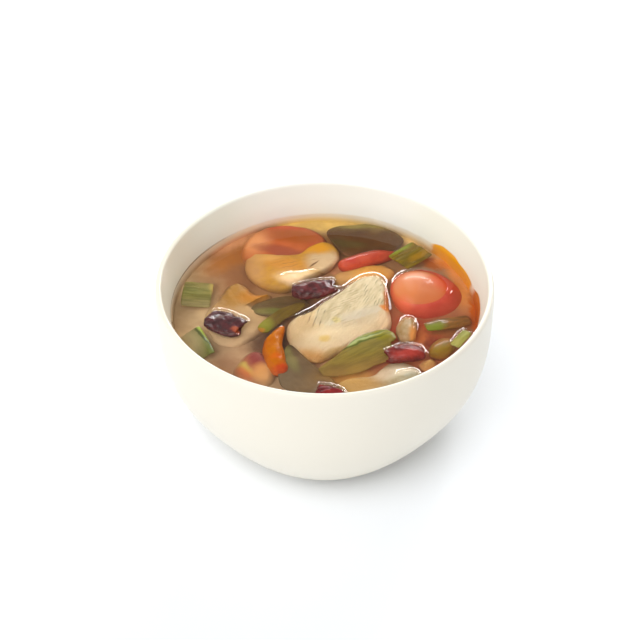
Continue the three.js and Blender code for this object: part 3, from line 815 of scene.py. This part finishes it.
class SOUP_OT_tomatoes(bpy.types.Operator):
    """Half a tomato standing out of the broth, and two sunk ones"""
    bl_idname = "soup.tomatoes"
    bl_label = "Tomatoes"

    def execute(self, context):
        own = context.scene.soup_tomatoes
        obj = copy_of("tomato_right", "tomato_half_right", 3)
        # Skinned tomato: smooth and wet, red below the broth, salmon above it, partly painted
        # sheen.
        skin = food(
            "wet_tomato_skin", own.skin, "#c24838", emerged=own.crown_and_sheen, zones=[
                (54, 18, 6, 7, -30, "#dc4a22", 0.6, 0.75),
                (40, 13, 9, 6, 0, "#d68862", 0.6, 0.6),
                (36, 8, 6, 6, 0, "#e08448", 0.6, 0.6),
                (34, -2, 5, 7, 0, "#e46e50", 0.5, 0.7),
                (41, 18, 5, 2.5, 20, "#e8a684", 0.7, 0.5),
                (46, 12, 3, 2.5, -30, "#c4602e", 0.7, 0.4),
                (38, 12, 2, 4, 10, "#de9670", 0.7, 0.35),
            ], feature=9, rough=0.5, coat=0.25, bump=0.08, grain=5, subsurface=0.2,
            clarity=26)
        finish(obj, skin, "tomato", "tomato_right")
        # The sunk ones have the same skin, dulled by the broth.
        for name, outline, depth, thickness, first, second, zones in SUNK_TOMATOES:
            obj = slab(name, outline, depth, thickness)
            crumple(obj, 8, 0.8)
            skin = food(name + "_skin", first, second, zones=zones, feature=9, bump=0.05,
                        contrast=0.25, clear_to=depth, clarity=MURK_DEPTH)
            finish(obj, skin, "tomato")
        return {"FINISHED"}


# ----- fresh chilies

class SoupChilies(bpy.types.PropertyGroup):
    red: tint("Red", "Colour of the red chili", "#c65034")
    orange: tint("Orange", "Colour of the orange chili", "#ba6804")


class SOUP_OT_chilies(bpy.types.Operator):
    """A red and an orange bird's eye chili"""
    bl_idname = "soup.chilies"
    bl_label = "Fresh chilies"

    def execute(self, context):
        own = context.scene.soup_chilies
        # Smooth, thin-skinned pods, their colour deep and even.
        red = copy_of("red_chili", "red_chili_pod", 3, 0.9)
        crumple(red, 6, 0.4)
        skin = food(
            "wet_red_chili_skin", own.red, "#ba462e",
            zones=[(12, 33, 3, 2, 0, "#b82f24", 0.6, 0.5)], feature=5, rough=0.5, shine=0.1,
            coat=0.8, bump=0.04, clarity=24)
        finish(red, skin, "red_chili", "red_chili")
        orange = copy_of("orange_chili", "orange_chili_pod", 3, 0.35)
        pull(orange, -17, -38, 14, 16, 0, (1.5, 0, 0))
        pull(orange, -23, -31, 8, 10, 0, (1.4, 0, 0))
        crumple(orange, 5, 0.7)
        crumple(orange, 2.2, 0.35)
        skin = food(
            "wet_orange_chili_skin", own.orange, "#b05a04", zones=[
                (-18, -40, 4, 3, 20, "#b83a14", 0.5, 0.8),
                (-21, -33, 2.5, 2, 0, "#c9560e", 0.6, 0.6),
            ], feature=4, rough=0.6, shine=0.06, coat=0.14, bump=0.04, clarity=30)
        finish(orange, skin, "orange_chili", "orange_chili")
        return {"FINISHED"}


# ----- dried chilies

# Which one, its two colours, how glossy it is out of the broth, and zones of other colours.
DRIED = [
    ("left", "#351214", "#562022", 0.7, [(-39, -16.8, 2.2, 1.2, -30, "#a8481c", 0.4)]),
    ("center", "#3b1312", "#6a2224", 0.75, [(-12, 1.8, 6, 3.6, 20, "#94282a", 0.5, 0.85)]),
    ("right", "#7c2016", "#581612", 0.4, [(36, -32, 6, 2.5, 10, "#b23628", 0.5, 0.7)]),
    ("front", "#8a1a18", "#561012", 0.15, []),
]


class SOUP_OT_dried_chilies(bpy.types.Operator):
    """Cut lengths of dried chili: crumpled, dark and glossy"""
    bl_idname = "soup.dried_chilies"
    bl_label = "Dried chilies"

    def execute(self, context):
        for where, first, second, coat, zones in DRIED:
            obj = copy_of(f"dried_chili_{where}", f"dried_chili_piece_{where}", 3, 0.3)
            crumple(obj, 3.6, 1.3)
            crumple(obj, 5, 0.6, "MUSGRAVE", musgrave_type="RIDGED_MULTIFRACTAL", octaves=1)
            # Leathery skin with folds, which the film of broth makes shine.
            skin = food(
                f"dried_chili_skin_{where}", first, second, zones=zones, feature=3.5,
                contrast=0.2, coat=coat, bump=0.12, grain=1.6, clarity=20)
            finish(obj, skin, "dried_chili", f"dried_chili_{where}")
        return {"FINISHED"}


# ----- leaves and spring onion

# Blades and leaves at the surface: name, CAD node, slot, two colours, direction of the ribs,
# and zones of other colours, among them painted highlights and a painted shadow.
GREENS = [
    ("scallion_blade_left", "scallion_left", "scallion", "#878144", "#6c682c", -4,
     [(-50, 17, 2, 7, 0, "#b8a444", 0.6, 0.7), (-61, 21, 8, 2.5, -6, "#a0ac4a", 0.5, 0.6)]),
    ("scallion_blade_lower_left", "scallion_lower_left", "scallion", "#6d7234", "#60682c", -66,
     # Along the crease: a bright green line, partly painted highlight, and a dark line of painted
     # shadow.
     [(-60, -21, 6, 9, 30, "#aca47c", 0.6, 0.8), (-51, -20, 1.4, 11, 34, "#a4b848"),
      (-52.6, -21, 0.6, 11, 34, "#3c4a20", 0.5, 0.8)]),
    ("scallion_blade_back_right", "scallion_back_right", "scallion", "#685408", "#866c04", 44,
     [(43, 37, 6, 1.8, 44, "#a27b03"), (35, 42, 7, 1.6, 44, "#8f9c30")]),
    ("lime_leaf_center", "green_leaf_center", "lime_leaf", "#84722a", "#746424", 30,
     [(16, -22.4, 9, 2, 28, "#8f9a48", 0.5, 0.8), (26, -18.2, 8, 3.4, 16, "#867c12"),
      (15, -25, 13, 0.5, 26, "#48500f", 0.5, 0.85),
      (19, -20.6, 11, 0.4, 26, "#58681c", 0.5, 0.8),
      # The thin pale line along the crease is a painted highlight.
      (16, -22.8, 10, 0.6, 26, "#c4cc98", 0.5, 0.35), (4, -41, 7, 4, 20, "#6c5620", 0.6, 0.7)]),
    ("scallion_sliver_right", "scallion_right_sliver", "scallion", "#84581c", "#6c4c18", 20,
     [(48, -14, 5, 2.6, 26, "#727c1c")]),
    ("scallion_stalk_lower_right", "scallion_lower_right_a", "scallion", "#93602d", "#745c26",
     60, [(50, -30, 8, 4, 30, "#84660c")]),
    ("scallion_blade_lower_right", "scallion_lower_right_b", "scallion", "#a6a456", "#8e8c42",
     56, []),
]

# Where a blade dips into the broth: a point and the direction of a line, and the slope beside it.
DIPS = {
    "scallion_blade_left": (-58, 8, 176, 0.2),
    "scallion_blade_lower_left": (-52, -23, 110, 0.35),
    "scallion_sliver_right": (52, -12, -70, 0.12),
}

# Where a blade is bent or widened: x, y, half sizes, turn and move.
PULLED = {
    "lime_leaf_center": [
        (20, -22, 18, 9, 28, (-0.5, 4.2, 1.1)), (31, -20, 5, 6, 0, (0, -2.5, 0)),
        (25, -29, 10, 9, 0, (5.5, -1, -1))],
    "scallion_stalk_lower_right": [
        (55, -25, 7, 11, 0, (2.4, 0, 0)), (48, -26, 5, 9, 0, (-0.8, 0, 0))],
}

# Those wholly under the surface: name, outline, depth of the top, thickness, slot, two colours,
# direction of the ribs, and zones of other colours.
SUNK_GREENS = [
    ("lime_leaf_sunk_back",
     [(-1.3, 56.8), (4.8, 61.3), (16.6, 63), (25.1, 62.2), (33, 57), (40, 49), (27, 39),
      (18.5, 34.4), (9.3, 38.1), (4.7, 45.5)], 2.2, 0.9, "lime_leaf", "#442206", "#382008", 20,
     [(12, 61, 16, 1.6, 0, "#5a5614"), (6, 47, 5, 6, 0, "#343018", 0.5, 0.7),
      (11, 47.5, 8, 2.4, -10, "#2c3818", 0.5, 0.85)]),
    ("lime_leaf_sunk_left",
     [(-35, 0), (-30.8, 5), (-22, 9.2), (-14, 10.8), (-8, 7), (-4, 0), (-12, -5.5),
      (-22.2, -5), (-29, -4.2)], 2.2, 0.9, "lime_leaf", "#3c3113", "#302c12", 10,
     [(-24, -1, 8, 2, -4, "#566426")]),
    ("scallion_sunk_strip",
     [(-31, -13), (-28, -8), (-22, -1.5), (-14, 5), (-8, 6), (-9, 0.5), (-15.5, -4.5),
      (-21, -10.5), (-26, -18)], 1.6, 0.9, "scallion", "#60520a", "#524408", 50,
     [(-27, -11, 4, 5, 0, "#808c18", 0.5, 0.8), (-28.5, -14.5, 2.2, 1.6, 0, "#b87424", 0.5, 0.8)]),
    ("lime_leaf_sunk_front",
     [(-18.4, -26.2), (-15.4, -21.4), (-10.7, -28), (-5, -36), (3, -43), (6, -50), (-2, -55),
      (-14, -54.5), (-21.6, -48.6)], 2.6, 0.9, "lime_leaf", "#221f08", "#1e1a06", -60,
     [(-15.5, -31, 2.4, 9, 22, "#56642a", 0.6), (0, -50, 9, 7, 0, "#6c5a40", 0.7, 0.6)]),
]


class SOUP_OT_greens(bpy.types.Operator):
    """Blades and stalks of spring onion, and kaffir lime leaves"""
    bl_idname = "soup.greens"
    bl_label = "Greens"

    def execute(self, context):
        # Waxy plant skin with fine ribs along the blade; under water it loses its shine.
        for name, node_name, slot, first, second, turn, zones in GREENS:
            obj = copy_of(node_name, name, 2)
            if name in DIPS:
                sink(obj, *DIPS[name])
            for pulled in PULLED.get(name, ()):
                pull(obj, *pulled)
            crumple(obj, 4, 0.4)
            skin = food(
                name + "_surface", first, second, zones=zones, feature=1.3, contrast=0.12,
                stretch=9, turn=turn, bump=0.15, grain=1, rough=0.5, clarity=12)
            finish(obj, skin, slot, node_name)
        for name, outline, depth, thickness, slot, first, second, turn, zones in SUNK_GREENS:
            obj = slab(
                name, outline, depth, thickness, rim=0.5, steps=(0.5, 0.38, 0.12), levels=4)
            crumple(obj, 9, 1.8, direction="Z")
            skin = food(name + "_surface", first, second, zones=zones, feature=2, stretch=8,
                        turn=turn, bump=0.1, shine=0)
            finish(obj, skin, slot)
        return {"FINISHED"}


# ----- stage

# Lamps: place and target from the middle of the broth's surface, in metres; width, height and
# power. The two narrow ones behind the bowl are what the broth's edges mirror as thin lines.
LAMPS = {
    "lamp_back": ((0.14, 0.63, 0.26), (0, 0, 0), 0.62, 0.06, 2.6),
    "lamp_side": ((0.27, 0.50, 0.31), (0, 0, 0), 0.06, 0.22, 0.6),
    "lamp_key": ((-0.7, -1, 1.642), (0, 0, -0.018), 1.4, 1.4, 20.5),
}

SKY_GAP = (0.05, 0.77, 0.64)  # direction of the dimmer gap in the sky behind the bowl
CAMERA_AIM = Vector((-2.1, -11.2, 60.4)) * MM  # what the camera looks at


class SoupStage(bpy.types.PropertyGroup):
    elevation: number("Camera elevation", "Angle above the horizon", math.radians(39.6),
                      subtype="ANGLE", min=0, max=math.pi / 2)
    distance: size("Camera distance", "From the middle of the rim", 800)
    lens: number("Lens", "Focal length in millimetres", 101.98, unit="CAMERA")
    floor: tint("Floor", "Colour of the floor", "#f5f8fc")
    sky_left: number("Light from the left", "Sky brightness on the left", 0.92, min=0)
    sky_right: number("Light from the right", "Sky brightness on the right", 0.54, min=0)
    sky_gap: number("Gap", "Share of the sky's light left in the gap behind the bowl", 0.45, min=0)


class SOUP_OT_stage(bpy.types.Operator):
    """Pale floor, soft studio light and the camera"""
    bl_idname = "soup.stage"
    bl_label = "Stage"

    def execute(self, context):
        own = context.scene.soup_stage
        self.floor(own)
        self.sky(own)
        for name, lamp in LAMPS.items():
            self.lamp(name, *lamp)
        self.camera(own)
        context.scene.view_settings.view_transform = "Standard"
        context.scene.view_settings.look = "None"
        return {"FINISHED"}

    def floor(self, own):
        """A wide plain floor."""
        bpy.ops.mesh.primitive_plane_add(size=8)
        floor = bpy.context.object
        floor.name = "stage_floor"
        # Matt pale paper.
        material, tree, shader = blank("pale_floor")
        wire(tree, shader, {
            "Base Color": own.floor, "Roughness": 0.9, "Specular IOR Level": 0})
        floor.data.materials.append(material)

    def sky(self, own):
        """Soft light all round, brighter from the left, with a dimmer gap behind the bowl."""
        world = bpy.data.worlds.new("studio")
        bpy.context.scene.world = world
        world.use_nodes = True
        tree = world.node_tree
        toward = node(tree, "TexCoord", {}, {}, "Generated")
        across = node(tree, "SeparateXYZ", {}, {0: toward}, "X")
        side = node(tree, "MapRange", SMOOTH, {
            "Value": across, "From Min": -1, "To Min": own.sky_left, "To Max": own.sky_right})
        near = node(tree, "VectorMath", {"operation": "DOT_PRODUCT"}, {
            0: toward, 1: SKY_GAP}, "Value")
        gap = node(tree, "MapRange", SMOOTH, {
            "Value": near, "From Min": 0.8, "From Max": 0.97, "To Min": 1, "To Max": own.sky_gap})
        wire(tree, tree.nodes["Background"], {
            "Color": (1, 1, 1, 1), "Strength": all_of(tree, side, gap)})

    def lamp(self, name, place, target, width, height, power):
        """A soft rectangular lamp."""
        data = bpy.data.lights.new(name, "AREA")
        data.shape = "RECTANGLE"
        data.size, data.size_y = width, height
        data.energy = power
        obj = new_object(name, data)
        obj.location = Vector(place) + Vector((0, 0, SOUP_LEVEL * MM))
        aim = Vector(target) - Vector(place)
        obj.rotation_euler = aim.to_track_quat("-Z", "Y").to_euler()

    def camera(self, own):
        """The camera, in front of the bowl and above it."""
        data = bpy.data.cameras.new("camera")
        data.lens = own.lens
        data.sensor_width = 36
        data.clip_start = 0.01
        camera = new_object("camera", data)
        camera.location = (0, -own.distance * math.cos(own.elevation),
                           RIM_HEIGHT * MM + own.distance * math.sin(own.elevation))
        aim = CAMERA_AIM - camera.location
        camera.rotation_euler = aim.to_track_quat("-Z", "Y").to_euler()
        bpy.context.scene.camera = camera


# ----- panel and main

GROUPS = {
    "soup_bowl": SoupBowl, "soup_broth": SoupBroth, "soup_chicken": SoupChicken,
    "soup_tomatoes": SoupTomatoes, "soup_chilies": SoupChilies, "soup_stage": SoupStage,
}
OPERATORS = [
    SOUP_OT_bowl, SOUP_OT_chicken, SOUP_OT_tomatoes, SOUP_OT_chilies, SOUP_OT_dried_chilies,
    SOUP_OT_greens, SOUP_OT_broth, SOUP_OT_stage,
]


class SOUP_PT_panel(bpy.types.Panel):
    """Lists the pieces of the soup and what can be changed"""
    bl_label = "Soup"
    bl_idname = "SOUP_PT_panel"
    bl_space_type = "VIEW_3D"
    bl_region_type = "UI"
    bl_category = "Soup"

    def draw(self, context):
        for name in GROUPS:
            group = getattr(context.scene, name)
            box = self.layout.box()
            for key in group.__annotations__:
                box.prop(group, key)
        for operator in OPERATORS:
            self.layout.operator(operator.bl_idname)


def register():
    for each in (*GROUPS.values(), *OPERATORS, SOUP_PT_panel):
        bpy.utils.register_class(each)
    for name, group in GROUPS.items():
        setattr(bpy.types.Scene, name, bpy.props.PointerProperty(type=group))


def unregister():
    for name in GROUPS:
        delattr(bpy.types.Scene, name)
    for each in reversed((*GROUPS.values(), *OPERATORS, SOUP_PT_panel)):
        bpy.utils.unregister_class(each)


def main():
    register()
    for operator in OPERATORS:
        family, name = operator.bl_idname.split(".")
        getattr(getattr(bpy.ops, family), name)()


if __name__ == "__main__":
    main()
